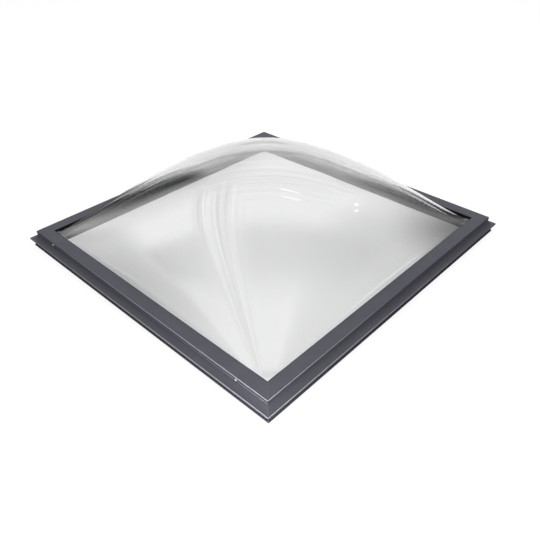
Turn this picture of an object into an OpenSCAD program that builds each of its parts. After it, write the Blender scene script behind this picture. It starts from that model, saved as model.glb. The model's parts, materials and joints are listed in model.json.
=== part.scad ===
// Fixed roof skylight: two blown domes clamped between a retaining frame and a base frame that
// sits over a kerb. The frame is square, +Z is up, and z = 0 is the bottom of the skirt.
// A frame profile is drawn with x outward from the middle of the skylight and y up.

/* [Frame] */
// Width of the square retaining frame, outside
frame_w = 1000; // [800:10:1300]
// Height from the bottom of the skirt to the top of the retaining frame
frame_h = 52; // [50:0.5:64]

/* [Retaining frame] */
// Width of the flat top face
cover_w = 38.5; // [34:0.5:46]
// Wall thickness
cover_t = 2.5; // [2:0.1:3]
// Height of the outer lip
lip_h = 10.5; // [10:0.1:11.5]
// Rounding along the outer top edge
edge_r = 1.6; // [0.6:0.1:1.9]
// Rounding along the inner top edge
inner_edge_r = 0.8; // [0.3:0.1:1.5]
// Width of the rib that stops the gasket
rib_w = 1; // [0.6:0.1:2]
// Height of the rib that stops the gasket
rib_h = 1.2; // [0.6:0.1:1.6]

/* [Domes] */
// Rise of the outer dome above its flange
outer_rise = 214.5; // [150:0.5:300]
// How much lower the inner dome rises above its own flange
rise_step = 12; // [4:0.5:30]
// Sheet thickness of the outer dome
outer_t = 4; // [3:0.5:5]
// Sheet thickness of the inner dome
inner_t = 3; // [2:0.5:4]
// From the retaining frame's inner edge to the bend of the outer dome
dome_inset = 3; // [2.5:0.5:8]
// How much further in the inner dome bends
inner_inset = 5.5; // [5:0.5:9]
// From the retaining frame's outside to the edges of the domes' flanges
flange_setback = 13; // [11:0.5:16]

/* [Seals] */
// Thickness of the upper gasket
gasket_t = 2; // [1.8:0.1:3]
// Width of the gasket's bead along the retaining frame's inner edge
bead_w = 2; // [1:0.1:2.4]
// Height of the bead above the underside of the retaining frame's top wall
bead_h = 1.7; // [1.2:0.1:2]
// Thickness of the spacer between the domes
spacer_t = 6; // [5:0.5:8]
// Thickness of the glazing tape
tape_t = 2; // [1:0.5:3]
// How far the spacer, tape and gasket stay in from the edges of the flanges
seal_inset = 5; // [3:0.5:7]
// Thickness of the kerb seal
kerb_seal_t = 4; // [3:0.5:6]
// Width of the kerb seal
kerb_seal_w = 40; // [25:1:50]

/* [Base frame] */
// Thickness of the outer walls
wall = 2.5; // [2:0.1:3]
// Thickness of the inner webs
web = 2; // [1.5:0.1:2.5]
// Height inside the chamber that takes the corner keys
chamber_h = 6; // [5:0.5:8]
// Radius of the cove along the side
cove_r = 16; // [14:0.5:20]
// How far the cove's upright tangent lies inside the retaining frame's outside
cove_set = 1; // [0.5:0.1:1.5]
// Width of the flat strip between the cove and the drip edge
rim_flat = 3.6; // [3:0.1:6]
// Depth of the drip flange's top below the top of the retaining frame
flange_drop = 24.6; // [23:0.2:27]
// Height of the drip edge
drip_h = 4.9; // [3.5:0.1:7]
// Rounding along the drip edge
drip_r = 1; // [0.4:0.1:1.6]
// From the drip edge to the outside of the skirt
skirt_setback = 9.1; // [8:0.1:11]
// How far the foot stands out from the skirt
foot_out = 2.8; // [1:0.1:5]
// Height of the foot
foot_h = 3.5; // [2:0.1:5]
// From the retaining frame's outside to the inside of the inner wall
inner_wall_setback = 50; // [47:0.5:62]
// Height of the inner wall's lower edge above the bottom of the skirt
inner_wall_lift = 6.5; // [2:0.5:12]
// From the outer dome's bend to the web beside the gutter
gutter_web_inset = 1.5; // [0.5:0.1:3]
// How far the gutter's inner wall stays below the inner dome
gutter_gap = 1.5; // [1:0.1:4]

/* [Fastening] */
// Distance of the retaining screws from the corners
screw_inset = 100; // [90:5:200]
// Depth of the retaining screws below the top
screw_drop = 6.5; // [6.2:0.1:6.8]
// Diameter of a retaining screw
screw_d = 3.5; // [3:0.1:4]
// Diameter of a retaining screw's head
head_d = 6; // [5:0.1:7]
// Height of a retaining screw's head
head_h = 2.2; // [1.8:0.1:3]
// Width across the corners of the head's socket
socket_d = 2.6; // [2:0.1:3]
// Depth of the head's socket
socket_h = 1.2; // [0.6:0.1:1.5]
// Gap between a retaining screw's tip and the domes' flanges
tip_gap = 2; // [1:0.5:3]
// Distance between the two kerb fixing holes of a side
hole_spacing = 600; // [300:10:700]
// Diameter of the kerb fixing holes
hole_d = 5.5; // [4:0.1:7]
// Height of the kerb fixing holes above the bottom of the skirt
hole_z = 10; // [8:0.5:12]

/* [Corners] */
// Length of a corner key's legs
key_leg = 60; // [40:5:90]
// Length of a corner plate's legs
plate_leg = 70; // [40:5:80]
// Thickness of the corner plates
plate_t = 1.5; // [1:0.1:1.8]

/* [Fits] */
// Clearance between pieces that slide into each other
fit = 0.3; // [0.1:0.05:0.5]
// Clearance round a screw
screw_fit = 0.1; // [0.05:0.05:0.2]
// Hairline between two mitred rails
mitre_gap = 0.2; // [0:0.05:0.5]
// Shadow gap under the retaining frame's lip
shadow_gap = 0.8; // [0.4:0.1:1.5]
// Gap between the base frame's upstand and the retaining frame's top wall
upstand_gap = 0.5; // [0.3:0.1:0.8]

/* [Hidden] */
$fn = 64;
// Sides and corners in turn, each a quarter turn after the one before
SIDES = ["front", "right", "back", "left"];
CORNERS = ["front_right", "back_right", "back_left", "front_left"];
quarter = 90;
// Overrun of every cut
cut = 2;
// Grid cells from the middle of a dome to its bend
dome_cells = 16;
// Form of the domes: how full they are, how soft the sides start, and how soon the bend ends
dome_power_share = 0.613;
dome_soft_share = 0.01;
dome_bend_share = 0.003;
// Part of a screw's length that is its point, and the width left at the tip
point_share = 0.3;
point_d_share = 0.3;

// Heights of the clamped stack, from the top down
cover_z = frame_h - cover_t;
outer_z = cover_z - gasket_t;
inner_z = outer_z - outer_t - spacer_t;
shelf_z = inner_z - inner_t - tape_t;
chamber_top_z = shelf_z - web;
chamber_z = chamber_top_z - chamber_h;
floor_z = chamber_z - web;
lip_z = frame_h - lip_h;
step_z = lip_z - shadow_gap;
upstand_z = cover_z - upstand_gap;
gutter_z = inner_z - inner_t - gutter_gap;
rim_z = frame_h - flange_drop;
cove_z = rim_z + cove_r;
screw_z = frame_h - screw_drop;

// Distances outward from the middle
face_u = frame_w / 2;
cover_u = face_u - cover_w;
bend_u = cover_u - dome_inset;
inner_bend_u = bend_u - inner_inset;
sheet_u = face_u - flange_setback;
seal_u = sheet_u - seal_inset;
seal_in_u = bend_u + seal_inset;
upstand_out_u = face_u - cover_t - fit;
upstand_u = upstand_out_u - wall;
gutter_web_u = bend_u + gutter_web_inset;
chamber_u = gutter_web_u + web;
inner_wall_u = face_u - inner_wall_setback;
slot_in_u = inner_wall_u + wall;
cove_u = face_u - cove_set + cove_r;
rim_u = cove_u + rim_flat;
skirt_out_u = rim_u - skirt_setback;
skirt_u = skirt_out_u - wall;
foot_u = skirt_out_u + foot_out;
kerb_u = (slot_in_u + skirt_u) / 2;
inner_rise = outer_rise - rise_step;
screw_l = flange_setback - tip_gap;
screw_x = face_u - screw_inset;

coat = "#5f5f69";
rubber = "#1c1c1f";
foam = "#3a3a3e";
steel = "#c9cbd0";
clear = [0.86, 0.9, 0.92, 0.35];

// Share of the way from the bend to the middle along one direction: 0 at the bend, 1 in the middle
function inward_share(x, a) = max(0, 1 - pow(x / a, 2));

// Height share of a dome where the shares of both directions multiply to s
function bent_share(s) = (1 + dome_bend_share) * s * s / (s + dome_bend_share);
function full_share(w) = pow(w + dome_soft_share, dome_power_share);
full_span = full_share(1) - full_share(0);
function height_share(s) = (full_share(bent_share(s)) - full_share(0)) / full_span;

// Change of the height share with s
function bent_slope(s) =
    (1 + dome_bend_share) * (s * s + 2 * s * dome_bend_share) / pow(s + dome_bend_share, 2);
function height_slope(s) =
    dome_power_share * full_share(bent_share(s)) / (bent_share(s) + dome_soft_share) / full_span
    * bent_slope(s);

// Point of a dome over (x, y), moved down along its normal by the depth
function dome_point(x, y, a, rise, z, depth) =
    let (sx = inward_share(x, a))
    let (sy = inward_share(y, a))
    let (slope = 2 * rise * height_slope(sx * sy) / a / a)
    let (normal = [slope * x * sy, slope * y * sx, 1])
    [x, y, z + rise * height_share(sx * sy)] - depth * normal / norm(normal);

// Sheet with a flat flange out to sheet_u and a blown dome inside the bend at a
module dome(a, rise, z, sheet_t) {
    inside = [for (i = [-dome_cells:dome_cells]) a * sin(quarter * i / dome_cells)];
    lines = concat([-sheet_u], inside, [sheet_u]);
    last = len(lines) - 1;
    layer = len(lines) * len(lines);
    function at(i, j, under) = under * layer + i * len(lines) + j;
    // Two triangles of a cell, split along the diagonal that points to the middle
    function cell(i, j) =
        (i * 2 < last) == (j * 2 < last)
        ? [[[i, j], [i, j + 1], [i + 1, j + 1]], [[i, j], [i + 1, j + 1], [i + 1, j]]]
        : [[[i, j], [i, j + 1], [i + 1, j]], [[i + 1, j], [i, j + 1], [i + 1, j + 1]]];
    cells = [for (i = [0:last - 1]) for (j = [0:last - 1]) each cell(i, j)];
    rim = concat(
        [for (k = [0:last - 1]) [k, 0]],
        [for (k = [0:last - 1]) [last, k]],
        [for (k = [0:last - 1]) [last - k, last]],
        [for (k = [0:last - 1]) [0, last - k]]
    );
    polyhedron(
        points = [
            for (under = [0, 1])
                for (x = lines)
                    for (y = lines)
                        dome_point(x, y, a, rise, z, under * sheet_t)
        ],
        faces = concat(
            [for (t = cells) [for (p = t) at(p[0], p[1], 0)]],
            [for (t = cells) [for (k = [2:-1:0]) at(t[k][0], t[k][1], 1)]],
            [
                for (k = [0:len(rim) - 1])
                    let (p = rim[k])
                    let (q = rim[(k + 1) % len(rim)])
                    each [
                        [at(p[0], p[1], 1), at(p[0], p[1], 0), at(q[0], q[1], 0)],
                        [at(p[0], p[1], 1), at(q[0], q[1], 0), at(q[0], q[1], 1)]
                    ]
            ]
        )
    );
}

// Rectangle of a profile between two distances and two heights
module bar(u0, u1, z0, z1) {
    translate([u0, z0])
        square([u1 - u0, z1 - z0]);
}

// What a rounding takes off an upper edge of a profile: the outer edge, or the inner one if flipped
module rounding(u, z, r, flip = 0) {
    translate([flip > 0 ? u + r : u - r, z - r])
        mirror([flip, 0])
            difference() {
                square(r + cut);
                circle(r);
            }
}

// Profile drawn along the front side, cut to its mitres
module side_run(gap) {
    apex = gap / sqrt(2);
    intersection() {
        rotate([quarter, 0, -quarter])
            linear_extrude(height = 2 * rim_u + cut, center = true)
                children();
        translate([0, 0, -cut])
            linear_extrude(height = frame_h + 2 * cut)
                polygon([[0, -apex], [-frame_w, -frame_w - apex], [frame_w, -frame_w - apex]]);
    }
}

// Flat ring between two distances from the middle
module ring(u0, u1, z0, t) {
    translate([0, 0, z0])
        linear_extrude(height = t)
            difference() {
                square(2 * u1, center = true);
                square(2 * u0, center = true);
            }
}

// Hole through the front side at (x, z), from one distance out to another
module side_hole(x, z, d, u0, u1) {
    translate([x, -u0, z])
        rotate([quarter, 0, 0])
            cylinder(d = d, h = u1 - u0);
}

// Angle that lies flat in the front right corner, between two distances from the middle
module flat_angle(u0, u1, leg, z0, t) {
    translate([0, 0, z0])
        linear_extrude(height = t)
            union() {
                translate([u1 - leg, -u1])
                    square([leg, u1 - u0]);
                translate([u0, -u1])
                    square([u1 - u0, leg]);
            }
}

module outer_dome() {
    color(clear)
        dome(bend_u, outer_rise, outer_z, outer_t);
}

module inner_dome() {
    color(clear)
        dome(inner_bend_u, inner_rise, inner_z, inner_t);
}

// Strip between the retaining frame and the outer dome, with a round bead along the inner edge
module gasket_profile() {
    bar(cover_u - bead_w, seal_u, outer_z, cover_z);
    bar(cover_u - bead_w, cover_u, outer_z, cover_z + bead_h - bead_w / 2);
    translate([cover_u - bead_w / 2, cover_z + bead_h - bead_w / 2])
        circle(d = bead_w);
}

module upper_gasket() {
    color(rubber)
        for (i = [0:len(SIDES) - 1])
            rotate(quarter * i)
                side_run(0)
                    gasket_profile();
}

module dome_spacer() {
    color(foam)
        ring(seal_in_u, seal_u, inner_z, spacer_t);
}

module glazing_tape() {
    color(rubber)
        ring(seal_in_u, seal_u, shelf_z, tape_t);
}

module kerb_seal() {
    color(foam)
        ring(kerb_u - kerb_seal_w / 2, kerb_u + kerb_seal_w / 2, floor_z - kerb_seal_t, kerb_seal_t);
}

// Flat top, outer lip and the rib that stops the gasket
module retaining_profile() {
    difference() {
        union() {
            bar(cover_u, face_u, cover_z, frame_h);
            bar(face_u - cover_t, face_u, lip_z, frame_h);
            bar(seal_u + fit, seal_u + fit + rib_w, cover_z - rib_h, cover_z);
        }
        rounding(face_u, frame_h, edge_r);
        rounding(cover_u, frame_h, inner_edge_r, 1);
    }
}

module retaining_rail(i) {
    color(coat)
        rotate(quarter * i)
            difference() {
                side_run(mitre_gap)
                    retaining_profile();
                if (i % 2 == 0)
                    for (x = [-screw_x, screw_x])
                        side_hole(x, screw_z, screw_d + 2 * screw_fit, upstand_out_u, face_u + cut);
            }
}

// Coved side that runs out from the upstand to the drip flange
module cove_profile() {
    intersection() {
        difference() {
            union() {
                translate([cove_u, cove_z])
                    circle(cove_r + wall);
                bar(upstand_out_u, cove_u, step_z - web, step_z);
            }
            translate([cove_u, cove_z])
                circle(cove_r);
        }
        bar(upstand_u, cove_u, rim_z - wall, step_z);
    }
}

module base_profile() {
    difference() {
        union() {
            bar(upstand_u, upstand_out_u, floor_z, upstand_z);
            bar(gutter_web_u, upstand_out_u, chamber_top_z, shelf_z);
            bar(gutter_web_u, chamber_u, floor_z, shelf_z);
            bar(inner_wall_u, skirt_out_u, floor_z, chamber_z);
            bar(inner_wall_u, slot_in_u, inner_wall_lift, gutter_z);
            cove_profile();
            bar(cove_u, rim_u, rim_z - wall, rim_z);
            bar(rim_u - wall, rim_u, rim_z - drip_h, rim_z);
            bar(skirt_u, skirt_out_u, 0, rim_z);
            bar(skirt_u, foot_u, 0, foot_h);
        }
        rounding(rim_u, rim_z, drip_r);
    }
}

module base_rail(i) {
    color(coat)
        rotate(quarter * i)
            difference() {
                side_run(mitre_gap)
                    base_profile();
                for (x = [-hole_spacing / 2, hole_spacing / 2])
                    side_hole(x, hole_z, hole_d, skirt_u - cut, foot_u + cut);
                if (i % 2 == 0)
                    for (x = [-screw_x, screw_x])
                        side_hole(x, screw_z, screw_d + 2 * screw_fit, upstand_u - cut, face_u);
            }
}

// Flat plate under the top of the retaining frame that ties its mitre
module corner_plate(i) {
    color(steel)
        rotate(quarter * i)
            flat_angle(sheet_u + fit, upstand_u - fit, plate_leg, cover_z - plate_t, plate_t);
}

// Solid angle that fills the base frame's chamber across its mitre
module corner_key(i) {
    color(steel)
        rotate(quarter * i)
            flat_angle(chamber_u + fit, upstand_u - fit, key_leg, chamber_z + fit, chamber_h - 2 * fit);
}

// Round-headed screw with a hexagon socket, its head upward and its seat at z = 0
module screw() {
    point_l = screw_l * point_share;
    difference() {
        rotate_extrude()
            difference() {
                square([head_d / 2, head_h]);
                rounding(head_d / 2, head_h, head_h / 2);
            }
        translate([0, 0, head_h - socket_h])
            cylinder(d = socket_d, h = socket_h + cut, $fn = 6);
    }
    translate([0, 0, point_l - screw_l])
        cylinder(d = screw_d, h = screw_l - point_l);
    translate([0, 0, -screw_l])
        cylinder(d1 = screw_d * point_d_share, d2 = screw_d, h = point_l);
}

module screws(i) {
    color(steel)
        rotate(quarter * i)
            for (x = [-screw_x, screw_x])
                translate([x, -face_u, screw_z])
                    rotate([quarter, 0, 0])
                        screw();
}

outer_dome();
inner_dome();
upper_gasket();
dome_spacer();
glazing_tape();
kerb_seal();
for (i = [0:len(SIDES) - 1]) {
    retaining_rail(i);
    base_rail(i);
    corner_plate(i);
    corner_key(i);
}
screws(0);  // screws_front
screws(2);  // screws_back
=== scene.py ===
# %% [markdown]
# # A roof skylight with two clear domes
#
# The object is a fixed skylight for a flat roof: two clear blown domes, one inside the other,
# clamped between a mitred retaining frame and a base frame that sits over a kerb. The packed
# model brings every piece at its real size. This lesson adds what plain solids lack: smooth
# clear domes, a finish for each material, a floor and soft light. Lengths are in metres, in the
# part's own frame: +Z is up, and the frame's sides run along X and Y.

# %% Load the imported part
import json
import math

import bpy
from mathutils import Matrix, Vector


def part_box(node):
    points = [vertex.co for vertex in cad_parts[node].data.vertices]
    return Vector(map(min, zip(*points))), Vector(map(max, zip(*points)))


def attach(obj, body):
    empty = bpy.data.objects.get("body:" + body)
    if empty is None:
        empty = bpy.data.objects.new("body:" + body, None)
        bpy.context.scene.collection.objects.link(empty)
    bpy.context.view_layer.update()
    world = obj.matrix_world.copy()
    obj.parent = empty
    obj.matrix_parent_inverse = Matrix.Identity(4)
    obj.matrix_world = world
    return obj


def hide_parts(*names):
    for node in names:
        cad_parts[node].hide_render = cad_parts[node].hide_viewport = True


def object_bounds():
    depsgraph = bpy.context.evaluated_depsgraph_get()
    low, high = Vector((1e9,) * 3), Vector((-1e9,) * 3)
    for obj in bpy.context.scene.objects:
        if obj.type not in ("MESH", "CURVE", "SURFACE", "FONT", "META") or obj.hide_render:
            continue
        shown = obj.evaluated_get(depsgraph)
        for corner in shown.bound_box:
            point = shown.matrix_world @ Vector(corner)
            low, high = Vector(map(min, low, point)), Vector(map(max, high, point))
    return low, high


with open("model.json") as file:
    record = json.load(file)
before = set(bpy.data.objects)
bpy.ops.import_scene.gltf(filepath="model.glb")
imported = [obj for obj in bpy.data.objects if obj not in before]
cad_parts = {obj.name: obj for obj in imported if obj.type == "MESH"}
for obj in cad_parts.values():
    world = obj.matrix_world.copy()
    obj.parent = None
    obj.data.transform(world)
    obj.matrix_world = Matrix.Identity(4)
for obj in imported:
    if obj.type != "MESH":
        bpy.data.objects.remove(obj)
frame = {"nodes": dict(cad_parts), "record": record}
cad_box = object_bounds()
part_nodes = frame["nodes"]
part_size = cad_box[1] - cad_box[0]
print(f"{len(part_nodes)} solids, {part_size.x:.3f} x {part_size.y:.3f} x {part_size.z:.3f} m")

# %% [markdown]
# ## The view
#
# The camera looks down on one corner of the frame. A camera can be placed by eye, or worked out
# from the corners of a square seen in perspective. Here it was worked out, so its angles, its
# distance and its focal length are plain numbers. The lens axis meets the picture a little to the
# right of its middle, which is what the camera's shift is for.

# %% Camera
PICTURE_PX = 540
FOCAL_PX = 572.4
AXIS_COLUMN_PX = 290.0
SENSOR_MM = 36.0
VIEW_AZIMUTH = math.radians(43.008)
VIEW_ELEVATION = math.radians(37.006)
VIEW_ROLL = math.radians(-0.690)
VIEW_DISTANCE = 1.5954
VIEW_TARGET = Vector((0.2198, -0.1248, 0.052))
UP = Vector((0, 0, 1))


def toward(azimuth, elevation):
    """Unit vector from the object towards an azimuth and elevation, as a camera is placed."""
    flat = math.cos(elevation)
    return Vector((math.sin(azimuth) * flat, -math.cos(azimuth) * flat, math.sin(elevation)))


def add_camera():
    """Makes the camera that sees the part as the picture shows it."""
    lens = bpy.data.cameras.new("view")
    lens.sensor_width = SENSOR_MM
    lens.lens = FOCAL_PX / PICTURE_PX * SENSOR_MM
    lens.shift_x = (PICTURE_PX / 2 - AXIS_COLUMN_PX) / PICTURE_PX
    camera = bpy.data.objects.new("view", lens)
    back = toward(VIEW_AZIMUTH, VIEW_ELEVATION)
    right = UP.cross(back).normalized()
    level = Matrix((right, back.cross(right), back)).transposed()
    turned = level @ Matrix.Rotation(VIEW_ROLL, 3, "Z")
    camera.matrix_world = Matrix.Translation(VIEW_TARGET + back * VIEW_DISTANCE) @ turned.to_4x4()
    bpy.context.scene.collection.objects.link(camera)
    bpy.context.scene.camera = camera
    return camera


view_camera = add_camera()
print("camera at", [round(x, 3) for x in view_camera.matrix_world.translation])

# %% [markdown]
# ## Tools for shader nodes
#
# Every finish below is a small network of nodes. Helpers keep them short: one adds a node and fills
# or links its inputs, others give a sum, a mix, a noise or a smooth step in one line, and two more
# start and place a node group, which is an effect with named inputs and outputs that several
# finishes can share.

# %% Node helpers
def add_node(tree, kind, inputs=None, **options):
    """Adds a shader node, sets its options, and fills its inputs with values or links."""
    node = tree.nodes.new("ShaderNode" + kind)
    for name, value in options.items():
        setattr(node, name, value)
    for name, value in (inputs or {}).items():
        if isinstance(value, bpy.types.NodeSocket):
            tree.links.new(value, node.inputs[name])
        else:
            node.inputs[name].default_value = value
    return node


def math_node(tree, operation, first, second=0.0):
    """Result of a two-input sum, product or the like."""
    return add_node(tree, "Math", {0: first, 1: second}, operation=operation).outputs[0]


def vector_node(tree, operation, first, second=(0, 0, 0), output="Vector"):
    """Result of a vector operation, or its Value where that is a length."""
    return add_node(tree, "VectorMath", {0: first, 1: second}, operation=operation).outputs[output]


def mix_colours(tree, share, first, second):
    """Colour between two others."""
    return add_node(tree, "Mix", {0: share, 6: first, 7: second}, data_type="RGBA").outputs[2]


def noise(tree, place, scale, detail):
    """Soft random values between nothing and one."""
    return add_node(tree, "TexNoise", {"Vector": place, "Scale": scale, "Detail": detail}).outputs[0]


def fade(tree, place, end, full, lowest=0.0):
    """Smooth step from the lowest share at one place to all at another."""
    inputs = {0: place, 1: end, 2: full, 3: lowest}
    return add_node(tree, "MapRange", inputs, interpolation_type="SMOOTHSTEP").outputs[0]


def place_on_part(tree):
    """Coordinates in metres that stay with the part."""
    return add_node(tree, "TexCoord").outputs["Object"]


print("node helpers ready")

# %% Helpers for shared effects
def new_effect(name, inputs, outputs):
    """Starts a node group with float inputs, given with their usual values, and float outputs."""
    effect = bpy.data.node_groups.new(name, "ShaderNodeTree")
    for socket_name, value in inputs.items():
        socket = effect.interface.new_socket(
            socket_name, in_out="INPUT", socket_type="NodeSocketFloat")
        socket.default_value = value
    for socket_name in outputs:
        effect.interface.new_socket(socket_name, in_out="OUTPUT", socket_type="NodeSocketFloat")
    given = effect.nodes.new("NodeGroupInput").outputs
    out = effect.nodes.new("NodeGroupOutput").inputs
    return effect, given, out


def use_effect(tree, effect, **inputs):
    """Places an effect in a material with its own values, and gives its outputs."""
    node = tree.nodes.new("ShaderNodeGroup")
    node.node_tree = effect
    for name, value in inputs.items():
        node.inputs[name.replace("_", " ").capitalize()].default_value = value
    return node.outputs


print("effect helpers ready")

# %% [markdown]
# ## Grain
#
# Powder coat dries with a faint orange peel, and rubber and foam have pores. All of them are fine
# bumps of one size, with a slow drift in tone over the piece. A noise texture in the part's own
# metres gives both, without unwrapping anything.

# %% Grain effect
def make_grain():
    """Bumps of one size, and a slow drift in tone."""
    effect, given, out = new_effect("grain", {"Size": 0.001, "Drift size": 0.08}, ("Height", "Tone"))
    place = place_on_part(effect)
    for size, output, detail in (("Size", "Height", 2.0), ("Drift size", "Tone", 3.0)):
        per_metre = math_node(effect, "DIVIDE", 1.0, given[size])
        effect.links.new(noise(effect, place, per_metre, detail), out[output])
    return effect


grain = make_grain()
print("effect:", grain.name)

# %% [markdown]
# ## Lines along a rail
#
# An extruded rail is drawn through a die, which leaves hair-fine lines along it, and rolled or
# sawn metal has lines of its own. Noise that is stretched far along one direction looks like
# that, so the effect takes how much each axis counts.

# %% Line effect
def make_lines():
    """Fine lines along the axis that counts least."""
    usual = {"Size": 0.001, "Along x": 1.0, "Along y": 1.0}
    effect, given, out = new_effect("lines", usual, ("Height",))
    counts = add_node(effect, "CombineXYZ", {"X": given["Along x"], "Y": given["Along y"], "Z": 1.0})
    place = vector_node(effect, "MULTIPLY", place_on_part(effect), counts.outputs[0])
    per_metre = math_node(effect, "DIVIDE", 1.0, given["Size"])
    effect.links.new(noise(effect, place, per_metre, 3.0), out["Height"])
    return effect


lines = make_lines()
print("effect:", lines.name)

# %% [markdown]
# ## Dust
#
# What lies open collects a little dust, more on level faces and in patches. The mask multiplies
# how far a face looks up by a broad noise, so upright walls stay clean.

# %% Dust effect
LEVEL_FROM, LEVEL_FULL = 0.55, 0.98
PATCH_FROM, PATCH_FULL = 0.42, 0.72


def make_dust():
    """Mask of the dust that settles on faces that look up."""
    effect, given, out = new_effect("dust", {"Amount": 0.2, "Patch": 0.05}, ("Mask",))
    facing = add_node(effect, "SeparateXYZ", {0: add_node(effect, "NewGeometry").outputs["Normal"]})
    level = add_node(effect, "MapRange", {0: facing.outputs["Z"], 1: LEVEL_FROM, 2: LEVEL_FULL})
    per_metre = math_node(effect, "DIVIDE", 1.0, given["Patch"])
    blots = noise(effect, place_on_part(effect), per_metre, 5.0)
    patches = add_node(effect, "MapRange", {0: blots, 1: PATCH_FROM, 2: PATCH_FULL})
    settled = math_node(effect, "MULTIPLY", level.outputs[0], patches.outputs[0])
    effect.links.new(math_node(effect, "MULTIPLY", settled, given["Amount"]), out["Mask"])
    return effect


dust = make_dust()
print("effect:", dust.name)

# %% [markdown]
# ## Painted highlight along an edge
#
# The rounded outer edges catch a thin highlight, and here that highlight is painted: the edge gets a
# lighter colour than the faces beside it. An edge that goes round a square frame is one point of
# its profile: a distance outward, which is the larger of X and Y, and a height. The mask is one
# close to that point, and the painted highlight fades along the rails from the front corner. At a
# mitre the distances outward along X and Y are the same, so a second mask follows the joints.

# %% Painted highlight effect
FRONT_CORNER = Vector((0.5, -0.5, 0.05))
FULL_WIDTH = 0.6


def soft_line(tree, away, width):
    """One within a width of a line, with a soft rim."""
    return fade(tree, math_node(tree, "DIVIDE", away, width), 1.0, FULL_WIDTH)


def make_highlight_and_mitre():
    """Masks of a painted highlight round the frame at a distance outward and a height, and of the mitres.
    """
    usual = {"Outward": 0.5, "Height": 0.05, "Width": 0.001, "Reach": 1.0, "Joint": 0.0007}
    effect, given, out = new_effect("edge", usual, ("Mask", "Mitre"))
    at = add_node(effect, "SeparateXYZ", {0: place_on_part(effect)}).outputs
    sides = [math_node(effect, "ABSOLUTE", at[axis]) for axis in ("X", "Y")]
    outward = math_node(effect, "SUBTRACT", math_node(effect, "MAXIMUM", *sides), given["Outward"])
    upward = math_node(effect, "SUBTRACT", at["Z"], given["Height"])
    from_line = add_node(effect, "CombineXYZ", {0: outward, 1: upward}).outputs[0]
    away = vector_node(effect, "LENGTH", from_line, output="Value")
    line = soft_line(effect, away, given["Width"])
    from_corner = vector_node(effect, "DISTANCE", place_on_part(effect), FRONT_CORNER, "Value")
    faded = add_node(effect, "MapRange", {0: from_corner, 1: given["Reach"], 2: 0.0})
    effect.links.new(math_node(effect, "MULTIPLY", line, faded.outputs[0]), out["Mask"])
    apart = math_node(effect, "ABSOLUTE", math_node(effect, "SUBTRACT", *sides))
    effect.links.new(soft_line(effect, apart, given["Joint"]), out["Mitre"])
    return effect


edge = make_highlight_and_mitre()
print("effect:", edge.name)

# %% [markdown]
# ## Opaque finishes
#
# Coat, rubber, foam and metal share one recipe: a colour that drifts between two close tones, a
# roughness that drifts with it, dust on level faces, and fine bumps. A function takes what differs
# and builds the material, so each finish is a few numbers that can be compared side by side.

# %% Opaque recipe
DUST_COLOUR = (0.42, 0.40, 0.37, 1.0)
# Colour of the painted highlight along the frame's edges.
HIGHLIGHT_COLOUR = (0.52, 0.52, 0.57, 1.0)
MITRE_COLOUR = (0.17, 0.17, 0.20, 1.0)
NOISE_LOW, NOISE_HIGH = 0.3, 0.7
DUST_DULLS = 0.5


def start_material(name):
    """Empty node material, with its tree and the input of its output node."""
    material = bpy.data.materials.new(name)
    material.use_nodes = True
    tree = material.node_tree
    tree.nodes.clear()
    return material, tree, add_node(tree, "OutputMaterial").inputs["Surface"]


def opaque_finish(name, tones, roughness, grain_size, grain_depth,
                  metal=0.0, shine=0.35, dusty=0.03, run=None, edges=()):
    """Finish with two close tones, a roughness range, bumps, lines along a run, and painted highlights
    along edges.
    """
    material, tree, surface = start_material(name)
    bumps = use_effect(tree, grain, size=grain_size)
    settled = use_effect(tree, dust, amount=dusty)["Mask"]
    tone = mix_colours(tree, bumps["Tone"], (*tones[0], 1), (*tones[1], 1))
    colour = mix_colours(tree, settled, tone, DUST_COLOUR)
    # Painted highlights along the edges, and lighter lines at the mitres.
    for edge_highlight in edges:
        highlighted = use_effect(tree, edge, **edge_highlight)
        colour = mix_colours(tree, highlighted["Mitre"], colour, MITRE_COLOUR)
        colour = mix_colours(tree, highlighted["Mask"], colour, HIGHLIGHT_COLOUR)
    gloss = add_node(tree, "MapRange", {
        0: bumps["Tone"], 1: NOISE_LOW, 2: NOISE_HIGH, 3: roughness[0], 4: roughness[1],
    })
    dull = math_node(tree, "ADD", gloss.outputs[0], math_node(tree, "MULTIPLY", settled, DUST_DULLS))
    height = bumps["Height"]
    if run:
        drawn = use_effect(tree, lines, size=grain_size, along_x=run[0], along_y=run[1])["Height"]
        height = math_node(tree, "ADD", height, drawn)
    bump = add_node(tree, "Bump", {"Height": height, "Strength": 1.0, "Distance": grain_depth})
    shader = add_node(tree, "BsdfPrincipled", {
        "Base Color": colour, "Roughness": dull, "Metallic": metal,
        "Normal": bump.outputs[0], "Specular IOR Level": shine,
    })
    tree.links.new(shader.outputs[0], surface)
    return material


print("recipe ready")

# %% [markdown]
# ## The finishes of the frame, seals and fasteners
#
# The frame is aluminium with a satin slate grey powder coat. Its rails are drawn along X or along
# Y, so there are two versions, which differ in the direction of their lines and in the painted
# highlights along their edges: the top edge and the lower edge of the retaining frame's lip, and the
# rim of the drip flange. The gasket and the tape are black rubber, the spacer and the kerb seal are
# dense and soft foam, and the corner pieces and screws are bare metal.

# %% Painted highlights along the edges
TOP_ROUND = 0.0016
DRIP_ROUND = 0.001
ROUND_MIDDLE = 1 - math.sqrt(0.5)
RIM_UNDER_TOP = 0.0246
rail_low, rail_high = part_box("retaining_rail_front")
top_edge = (-rail_low.y - TOP_ROUND * ROUND_MIDDLE, rail_high.z - TOP_ROUND * ROUND_MIDDLE)
drip_edge = (cad_box[1].x - DRIP_ROUND * ROUND_MIDDLE,
             rail_high.z - RIM_UNDER_TOP - DRIP_ROUND * ROUND_MIDDLE)
lip_edge = (-rail_low.y, rail_low.z)


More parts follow.
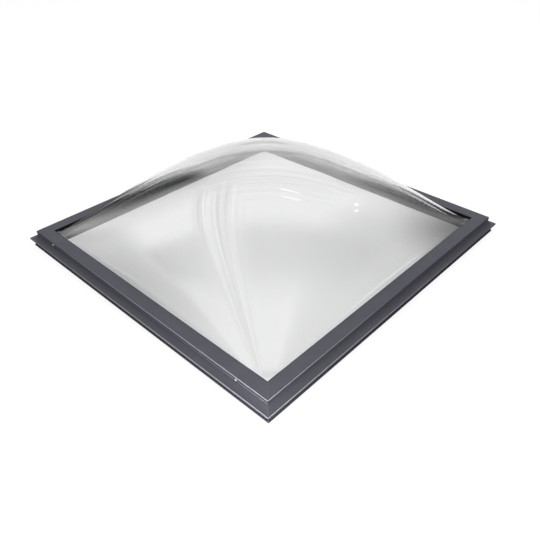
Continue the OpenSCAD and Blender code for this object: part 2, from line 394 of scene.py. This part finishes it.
def painted_highlight_line(at, width, reach):
    """Painted highlight along an edge at a place of the profile, with its width and its reach from the
    front corner.
    """
    return {"outward": at[0], "height": at[1], "width": width, "reach": reach}


# Rails along X get wider painted highlights that reach further, and one more along the lip.
edges_x = [
    painted_highlight_line(top_edge, width=0.0013, reach=0.9),
    painted_highlight_line(drip_edge, width=0.0015, reach=1.3),
    painted_highlight_line(lip_edge, width=0.0013, reach=0.9),
]
edges_y = [
    painted_highlight_line(top_edge, width=0.0008, reach=0.55),
    painted_highlight_line(drip_edge, width=0.0013, reach=0.9),
]
print(f"thin edges at heights {[round(at[1], 4) for at in (top_edge, lip_edge, drip_edge)]} m")

# %% Coats of the rails
STRETCH = 0.004
ALONG_X = (STRETCH, 1.0)
ALONG_Y = (1.0, STRETCH)
SLATE = ((0.094, 0.094, 0.114), (0.108, 0.108, 0.131))

coats = {
    axis: opaque_finish(
        "slate_coat_along_" + axis, SLATE, roughness=(0.5, 0.6), grain_size=0.0009, grain_depth=0.000012,
        shine=0.08, run=run, edges=edges)
    for axis, run, edges in (("x", ALONG_X, edges_x), ("y", ALONG_Y, edges_y))
}
print(len(coats), "coats")

# %% Seals and fasteners, by material slot
finishes = {
    "gasket_rubber": opaque_finish(
        "black_rubber", ((0.008, 0.008, 0.009), (0.014, 0.014, 0.015)),
        roughness=(0.55, 0.72), grain_size=0.0006, grain_depth=0.00003),
    "spacer_foam": opaque_finish(
        "dense_foam", ((0.018, 0.018, 0.019), (0.028, 0.028, 0.029)),
        roughness=(0.82, 0.95), grain_size=0.0012, grain_depth=0.0002),
    "kerb_foam": opaque_finish(
        "soft_foam", ((0.026, 0.026, 0.027), (0.040, 0.040, 0.041)),
        roughness=(0.85, 0.97), grain_size=0.0022, grain_depth=0.0005),
    "plate_steel": opaque_finish(
        "rolled_steel", ((0.46, 0.47, 0.49), (0.54, 0.55, 0.57)),
        roughness=(0.32, 0.45), grain_size=0.0007, grain_depth=0.00001,
        metal=1.0, dusty=0.0, run=ALONG_X),
    "key_aluminium": opaque_finish(
        "sawn_aluminium", ((0.55, 0.56, 0.58), (0.63, 0.64, 0.66)),
        roughness=(0.35, 0.48), grain_size=0.0008, grain_depth=0.00002,
        metal=1.0, dusty=0.0, run=ALONG_Y),
    "screw_steel": opaque_finish(
        "bright_steel", ((0.80, 0.81, 0.82), (0.90, 0.91, 0.92)),
        roughness=(0.16, 0.26), grain_size=0.0004, grain_depth=0.000004,
        metal=0.4, dusty=0.0),
}
print(len(finishes), "finishes for seals and fasteners")

# %% Put the finishes on
slot_of = {part["node"]: part["material_slot"] for part in frame["record"]["subparts"]}
run_of = {"front": "x", "back": "x", "left": "y", "right": "y"}

for name, solid in part_nodes.items():
    if slot_of[name] in finishes:
        finish = finishes[slot_of[name]]
    else:
        finish = coats[run_of.get(name.rsplit("_", 1)[1], "x")]
    solid.data.materials.clear()
    solid.data.materials.append(finish)
print(len(finishes) + len(coats), "opaque finishes on", len(part_nodes), "solids")

# %% [markdown]
# ## Clear sheet
#
# The domes are clear plastic sheet, blown while hot. Glass with the right index bends and mirrors
# what is around it, and a slow, shallow bump gives the small waves that blowing leaves. Light that
# falls through a curved sheet is hard to trace, so a ray that only asks whether light arrives
# passes straight through a pale tint.

# %% Clear finish
PLASTIC_INDEX = 1.49
WAVE_SIZE = 0.11
WAVE_DEPTH = 0.00025
DUST_AMOUNT, DUST_PATCH = 0.02, 0.02
CLEAR_TINT = (0.975, 0.978, 0.977, 1.0)
CLEAR_SHADE = (0.70, 0.705, 0.705, 1.0)


def clear_finish(name):
    """Clear sheet: the tint is what is seen through it, the shade is what light passes through."""
    material, tree, surface = start_material(name)
    waves = use_effect(tree, grain, size=WAVE_SIZE)
    bump = add_node(tree, "Bump", {"Height": waves["Height"], "Strength": 1.0, "Distance": WAVE_DEPTH})
    settled = use_effect(tree, dust, amount=DUST_AMOUNT, patch=DUST_PATCH)["Mask"]
    tone = mix_colours(tree, settled, CLEAR_TINT, DUST_COLOUR)
    shader = add_node(tree, "BsdfPrincipled", {
        "Base Color": tone, "Roughness": 0.0, "IOR": PLASTIC_INDEX,
        "Transmission Weight": 1.0, "Normal": bump.outputs[0],
    })
    straight = add_node(tree, "BsdfTransparent", {0: CLEAR_SHADE}).outputs[0]
    path = add_node(tree, "LightPath").outputs
    mixed = shader.outputs[0]
    for asks_for_light in ("Is Shadow Ray", "Is Diffuse Ray"):
        mixed = add_node(tree, "MixShader", {0: path[asks_for_light], 1: mixed, 2: straight}).outputs[0]
    tree.links.new(mixed, surface)
    return material


clear_sheets = {
    "outer_dome": clear_finish("clear_outer_sheet"),
    "inner_dome": clear_finish("clear_inner_sheet"),
}
print(len(clear_sheets), "clear finishes")

# %% [markdown]
# ## The blown domes
#
# A dome is a flat sheet clamped along a square and blown up while hot. Its height is the product
# of two arches, one along X and one along Y, raised to a power that makes the crown full and the
# sides steep, with a soft bend where it leaves the flange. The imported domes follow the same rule
# with flat faces. Here the rule gives a grid four times as fine, shaded smooth, so that
# reflections run over it without a break. The lines of the grid crowd towards the bend, because a
# sine spaces them.

# %% Dome form
CELLS = 64
POWER = 0.613
SIDE_SOFT = 0.01
BEND_SOFT = 0.003
SLOPE_STEP = 1e-5
DOME_SHEETS = {"outer_dome": 0.004, "inner_dome": 0.003}
BEND_INSETS = {"outer_dome": 0.003, "inner_dome": 0.0085}
frame_opening = -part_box("retaining_rail_front")[1].y


def arch_height(x, y, bend):
    """Height of a dome over its flange, as a share of its rise."""
    s = max(0, 1 - (x / bend) ** 2) * max(0, 1 - (y / bend) ** 2)
    w = (1 + BEND_SOFT) * s * s / (s + BEND_SOFT)
    low = SIDE_SOFT ** POWER
    return ((w + SIDE_SOFT) ** POWER - low) / ((1 + SIDE_SOFT) ** POWER - low)


def sheet_points(xs, bend, rise, flange_z, depth):
    """Grid points of a dome's upper face, moved inward along its normal by depth."""
    points = []
    for x in xs:
        for y in xs:
            h = rise * arch_height(x, y, bend)
            across = arch_height(x + SLOPE_STEP, y, bend) - arch_height(x - SLOPE_STEP, y, bend)
            along = arch_height(x, y + SLOPE_STEP, bend) - arch_height(x, y - SLOPE_STEP, bend)
            normal = Vector((-rise * across, -rise * along, 2 * SLOPE_STEP)).normalized()
            points.append(Vector((x, y, flange_z + h)) - normal * depth)
    return points


def dome_faces(count):
    """Faces of a closed sheet: an upper grid, a lower grid and the edge between them."""
    layer = count * count
    faces = []
    for i in range(count - 1):
        for j in range(count - 1):
            a, b = i * count + j, (i + 1) * count + j
            faces.append((a, b, b + 1, a + 1))
            faces.append((a + layer, a + 1 + layer, b + 1 + layer, b + layer))
    last = count - 1
    rim = [i * count for i in range(count)] + [last * count + j for j in range(1, count)]
    rim += [i * count + last for i in range(last - 1, -1, -1)] + [j for j in range(last - 1, 0, -1)]
    for p, q in zip(rim, rim[1:] + rim[:1]):
        faces.append((q, p, p + layer, q + layer))
    return faces


print(f"opening {2 * frame_opening:.3f} m wide")

# %% Make the domes
EDGE_ANGLE = math.radians(60)


def blown_dome(node):
    """Smooth dome in place of a packed one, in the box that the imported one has."""
    low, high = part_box(node)
    sheet = DOME_SHEETS[node]
    bend = frame_opening - BEND_INSETS[node]
    flange_z = low.z + sheet
    inside = [bend * math.sin(math.pi / 2 * i / CELLS) for i in range(-CELLS, CELLS + 1)]
    xs = [low.x, *inside, high.x]
    rise = high.z - flange_z
    points = sheet_points(xs, bend, rise, flange_z, 0) + sheet_points(xs, bend, rise, flange_z, sheet)
    mesh = bpy.data.meshes.new("blown_" + node)
    mesh.from_pydata(points, [], dome_faces(len(xs)))
    mesh.polygons.foreach_set("use_smooth", [True] * len(mesh.polygons))
    mesh.set_sharp_from_angle(angle=EDGE_ANGLE)
    mesh.materials.append(clear_sheets[node])
    dome = bpy.data.objects.new("blown_" + node, mesh)
    bpy.context.scene.collection.objects.link(dome)
    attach(dome, "root")
    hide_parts(node)
    return dome


domes = [blown_dome(node) for node in DOME_SHEETS]
for dome in domes:
    print(dome.name, len(dome.data.polygons), "faces")

# %% [markdown]
# ## Floor and surroundings
#
# The part stands on a white floor in white surroundings. The floor is diffuse, so it keeps the
# part's shadow, and a share of plain glow lifts it to white where nothing stands in the light. The
# glow is only for rays that look at it, straight, in a mirror or through the domes, so it adds no
# light of its own. A second sheet of floor under the domes glows a little less, and soft shades
# along the rails take away more of it, most of all at the right corner. A shade is longer along an
# axis that counts less.

# %% Shades under the domes
EVEN = (1.0, 1.0, 1.0)
WIDE = (0.6, 1.0, 1.0)
ALONG_LEFT = (1.0, 0.2, 1.0)
ALONG_BACK = (0.2, 1.0, 1.0)
# A shade has a middle, how much each axis counts, a reach, and the share of the glow that is left.
SHADES = [
    ((0.45, 0.45, 0.0), EVEN, 0.28, 0.22),
    ((-0.10, -0.43, 0.0), WIDE, 0.25, 0.74),
    ((0.32, 0.20, 0.0), EVEN, 0.38, 0.87),
    ((-0.47, 0.0, 0.0), ALONG_LEFT, 0.16, 0.72),
    ((0.22, 0.47, 0.0), ALONG_BACK, 0.12, 0.84),
    ((-0.33, -0.47, 0.0), WIDE, 0.22, 0.84),
]
print(len(SHADES), "soft shades")

# %% Floor
FLOOR_HALF, FLOOR_GAP, FLOOR_GLOW = 20.0, 0.0004, 0.865
SHEET_HALF, SHEET_GAP, SHEET_GLOW = 0.48, 0.0002, 0.81
FLOOR_WHITE = (0.22, 0.22, 0.22, 1.0)
WHITE = (1.0, 1.0, 1.0, 1.0)
SQUARE = ((-1, -1), (1, -1), (1, 1), (-1, 1))


def looking_ray(tree):
    """One for rays that look: from the camera, in a mirror, or through something clear."""
    path = add_node(tree, "LightPath").outputs
    mirrored = math_node(tree, "MAXIMUM", path["Is Glossy Ray"], path["Is Transmission Ray"])
    return math_node(tree, "MAXIMUM", path["Is Camera Ray"], mirrored)


def add_sheet(name, corners, material):
    """Flat sheet with four corners."""
    mesh = bpy.data.meshes.new(name)
    mesh.from_pydata(corners, [], [(0, 1, 2, 3)])
    mesh.materials.append(material)
    sheet = bpy.data.objects.new(name, mesh)
    bpy.context.scene.collection.objects.link(sheet)
    return sheet


def add_floor(name, half, gap, glow_share, shades):
    """White floor that keeps shadows, with soft shades in its glow."""
    material, tree, surface = start_material(name)
    matt = add_node(tree, "BsdfDiffuse", {"Color": FLOOR_WHITE})
    strength = math_node(tree, "MULTIPLY", looking_ray(tree), glow_share)
    for middle, form, reach, left in shades:
        off = vector_node(tree, "SUBTRACT", place_on_part(tree), middle)
        away = vector_node(tree, "LENGTH", vector_node(tree, "MULTIPLY", off, form), output="Value")
        strength = math_node(tree, "MULTIPLY", strength, fade(tree, away, 0.0, reach, left))
    glow = add_node(tree, "Emission", {"Color": WHITE, "Strength": strength})
    both = add_node(tree, "AddShader", {0: matt.outputs[0], 1: glow.outputs[0]})
    tree.links.new(both.outputs[0], surface)
    corners = [(x * half, y * half, cad_box[0].z - gap) for x, y in SQUARE]
    floor = add_sheet(name, corners, material)


add_floor("floor", FLOOR_HALF, FLOOR_GAP, FLOOR_GLOW, [])
add_floor("floor_under_domes", SHEET_HALF, SHEET_GAP, SHEET_GLOW, SHADES)
print("floor and the sheet under the domes ready")

# %% White surroundings
SKY_LOWEST, SKY_HIGHEST = 0.04, 1.34
SKY_POWER = 3.0


def white_surroundings():
    """World that looks white and lights the part softly."""
    world = bpy.data.worlds.new("white_surroundings")
    world.use_nodes = True
    tree = world.node_tree
    tree.nodes.clear()
    direction = add_node(tree, "TexCoord").outputs["Generated"]
    height = add_node(tree, "SeparateXYZ", {0: direction}).outputs["Z"]
    overhead = math_node(tree, "POWER", math_node(tree, "MAXIMUM", height, 0.0), SKY_POWER)
    sky = add_node(tree, "MapRange", {0: overhead, 3: SKY_LOWEST, 4: SKY_HIGHEST})
    light = add_node(tree, "Background", {"Color": WHITE, "Strength": sky.outputs[0]})
    seen = add_node(tree, "Background", {"Color": WHITE, "Strength": 1.0})
    mixed = add_node(tree, "MixShader", {0: looking_ray(tree), 1: light.outputs[0], 2: seen.outputs[0]})
    tree.links.new(mixed.outputs[0], add_node(tree, "OutputWorld").inputs["Surface"])
    bpy.context.scene.world = world


white_surroundings()
bpy.context.scene.view_settings.view_transform = "Standard"
print("surroundings ready")

# %% [markdown]
# ## Soft light
#
# The lamps are placed by the direction from a point: an angle round it, counted from straight
# behind, and a height. Their brightness is written as radiance, which is how bright they look in a
# mirror, and the power follows from it and from the area. Four softboxes light the frame and the
# floor and are kept out of mirrors. Two small lamps leave the sparks on the domes.

# %% Lamps
LIT_POINT = Vector((0.0, 0.0, 0.15))
LAMP_DISTANCE = 2.4
SPARK_DISTANCE = 1.6
SPARK_RADIANCE = 5.0


def softbox(name, point, turn, height, distance, size, radiance, in_mirrors=False):
    """Rectangular lamp that faces a point."""
    lamp = bpy.data.lights.new(name, "AREA")
    lamp.shape = "RECTANGLE"
    lamp.size, lamp.size_y = size
    lamp.energy = math.pi * size[0] * size[1] * radiance
    away = toward(VIEW_AZIMUTH + math.pi - math.radians(turn), math.radians(height))
    box = bpy.data.objects.new(name, lamp)
    facing = away.to_track_quat("Z", "Y").to_matrix().to_4x4()
    box.matrix_world = Matrix.Translation(Vector(point) + away * distance) @ facing
    bpy.context.scene.collection.objects.link(box)
    box.visible_camera = False
    box.visible_glossy = in_mirrors
    box.visible_transmission = in_mirrors


def small_lamp(name, spot, turn, height, size):
    """Small lamp that leaves a spark at a spot of the outer dome."""
    softbox(name, spot, turn, height, SPARK_DISTANCE, size, SPARK_RADIANCE, in_mirrors=True)


softbox("overhead", LIT_POINT, turn=180, height=78, distance=LAMP_DISTANCE, size=(1.8, 1.8), radiance=0.7)
softbox("behind", LIT_POINT, turn=0, height=55, distance=LAMP_DISTANCE, size=(1.8, 1.8), radiance=2.4)
softbox("low", LIT_POINT, turn=185, height=10, distance=LAMP_DISTANCE, size=(2.4, 0.5), radiance=1.7)
softbox("front", FRONT_CORNER, turn=190, height=15, distance=0.42, size=(0.23, 0.17), radiance=16.5)
small_lamp("spark_a", (0.150, -0.048, 0.245), turn=11.9, height=48.6, size=(0.30, 0.012))
small_lamp("spark_b", (0.285, 0.074, 0.200), turn=43.5, height=37.8, size=(0.05, 0.03))

# %% [markdown]
# ## Cards
#
# In white surroundings clear sheet loses its edges. A photographer stands dark cards beside it, so
# that the steep parts of the domes mirror something dark. The cards here are sheets that a mirrored
# ray passes through darker, like a grey filter, while every other ray passes unchanged. So they
# show only in mirrors, take no light away, and darken more where two stand behind each other. Each
# one fades out at its edges. Plain cards stand on both sides and behind, hang overhead and lie on
# the floor. Three cards have stripes, which leave long streaks on the domes.

# %% Card recipe
STRIPE_SIZE = 0.075
STRIPE_RUN = 0.012
STRIPE_LOWEST, STRIPE_HIGHEST = -0.6, 1.1


def beside(aside, ahead, height=0.0):
    """Place counted to the left of the part, away from the camera and up from the floor."""
    away = toward(VIEW_AZIMUTH + math.pi, 0.0)
    return UP.cross(away) * aside + away * ahead + UP * height


def add_card(name, near, far, rise, fades, cover, stripes=False):
    """Card from near to far and along a rise, with fades at its near, far, low and high edges."""
    material, tree, surface = start_material(name)
    place = place_on_part(tree)
    at = add_node(tree, "SeparateXYZ", {0: place}).outputs
    up, height = rise.normalized(), rise.length
    climb = (far - near).dot(up)
    run = far - near - up * climb
    length = run.length
    upward = math_node(tree, "SUBTRACT", at["Y"], math_node(tree, "MULTIPLY", at["X"], climb / length))
    dark = math_node(tree, "MULTIPLY", fade(tree, at["X"], 0.0, fades[0]), cover)
    dark = math_node(tree, "MULTIPLY", dark, fade(tree, at["X"], length, length - fades[1]))
    dark = math_node(tree, "MULTIPLY", dark, fade(tree, upward, 0.0, fades[2]))
    dark = math_node(tree, "MULTIPLY", dark, fade(tree, upward, height, height - fades[3]))
    if stripes:
        drawn = vector_node(tree, "MULTIPLY", place, (STRIPE_RUN, 1, 1))
        wave = add_node(tree, "MapRange", {
            0: noise(tree, drawn, 1 / STRIPE_SIZE, 2.0), 1: NOISE_LOW, 2: NOISE_HIGH,
            3: STRIPE_LOWEST, 4: STRIPE_HIGHEST,
        })
        dark = math_node(tree, "MULTIPLY", dark, wave.outputs[0])
    mirrors = math_node(tree, "MINIMUM", add_node(tree, "LightPath").outputs["Glossy Depth"], 1.0)
    passed = math_node(tree, "SUBTRACT", 1.0, math_node(tree, "MULTIPLY", dark, mirrors))
    tree.links.new(add_node(tree, "BsdfTransparent", {0: passed}).outputs[0], surface)
    corners = [(0, 0, 0), (length, climb, 0), (length, climb + height, 0), (0, height, 0)]
    card = add_sheet(name, corners, material)
    run.normalize()
    facing = Matrix((run, up, run.cross(up))).transposed().to_4x4()
    card.matrix_world = Matrix.Translation(near) @ facing
    card.visible_diffuse = False
    card.visible_shadow = False


print("card recipe ready")

# %% Cards beside and behind the part
add_card("card_left_near", near=beside(1.75, -1.6), far=beside(1.6, 0.9), rise=UP * 1.1,
         fades=(0.9, 0.6, 0.01, 0.5), cover=0.7)
add_card("card_left_far", near=beside(1.54, 0.7, -0.98), far=beside(1.25, 3.3, 0.78), rise=UP * 1.54,
         fades=(0.9, 1.0, 0.14, 0.42), cover=1.0)
add_card("card_right_near", near=beside(-1.7, -2.6), far=beside(-1.35, 1.5), rise=UP * 4.0,
         fades=(2.0, 1.3, 0.01, 3.0), cover=0.8)
add_card("card_right_far", near=beside(-1.52, 0.8, -0.76), far=beside(-1.27, 2.89, 0.50), rise=UP * 1.38,
         fades=(0.3, 1.2, 0.2, 0.65), cover=0.85)
add_card("card_back", near=beside(2.4, 3.4, 0.75), far=beside(-2.8, 3.4, 0.75), rise=UP * 0.75,
         fades=(0.7, 0.9, 0.3, 0.5), cover=0.5)
print("five plain cards stand round the part")

# %% Cards overhead and on the floor
LEFT = beside(1.0, 0.0)
AHEAD = beside(0.0, 1.0)
OVERHEAD = 2.0
LIFT = 0.002
add_card("card_above_right", near=beside(-4.5, -0.75, OVERHEAD), far=beside(1.0, -0.75, OVERHEAD),
         rise=AHEAD * 1.5, fades=(1.0, 0.8, 0.7, 0.5), cover=1.0)
add_card("card_above_left", near=beside(0.95, -0.75, OVERHEAD), far=beside(4.5, -0.75, OVERHEAD),
         rise=AHEAD * 1.5, fades=(0.7, 1.0, 0.7, 0.5), cover=1.0)
add_card("card_floor_left", near=beside(0.40, 0.1, LIFT), far=beside(1.25, 2.5, LIFT),
         rise=LEFT * 1.2, fades=(0.1, 0.4, 0.12, 0.3), cover=0.9)
add_card("card_floor_front", near=Vector((0.5, -0.58, LIFT)), far=Vector((-0.9, -0.58, LIFT)),
         rise=Vector((0, -1.3, 0)), fades=(0.3, 0.3, 0.08, 0.5), cover=0.8)
print("two plain cards hang overhead and two lie on the floor")

# %% Striped cards
add_card("card_striped", near=beside(0.35, -2.4, 2.05), far=beside(0.35, 2.2, 2.05), rise=LEFT * 1.3,
         fades=(0.8, 0.6, 0.35, 0.35), cover=0.95, stripes=True)
add_card("card_slats", near=beside(-1.4, 1.0, 1.9), far=beside(1.4, 1.0, 1.9), rise=AHEAD * 1.3,
         fades=(0.5, 0.5, 0.3, 0.3), cover=0.4, stripes=True)
add_card("card_slats_back", near=beside(2.8, 3.3, 1.4), far=beside(-2.8, 3.3, 1.4), rise=UP * 2.6,
         fades=(0.8, 0.8, 0.5, 0.6), cover=0.4, stripes=True)

# %% [markdown]
# ## End
#
# The dressed part has to keep the size of the imported one.

# %% Finish
print("end of the script")
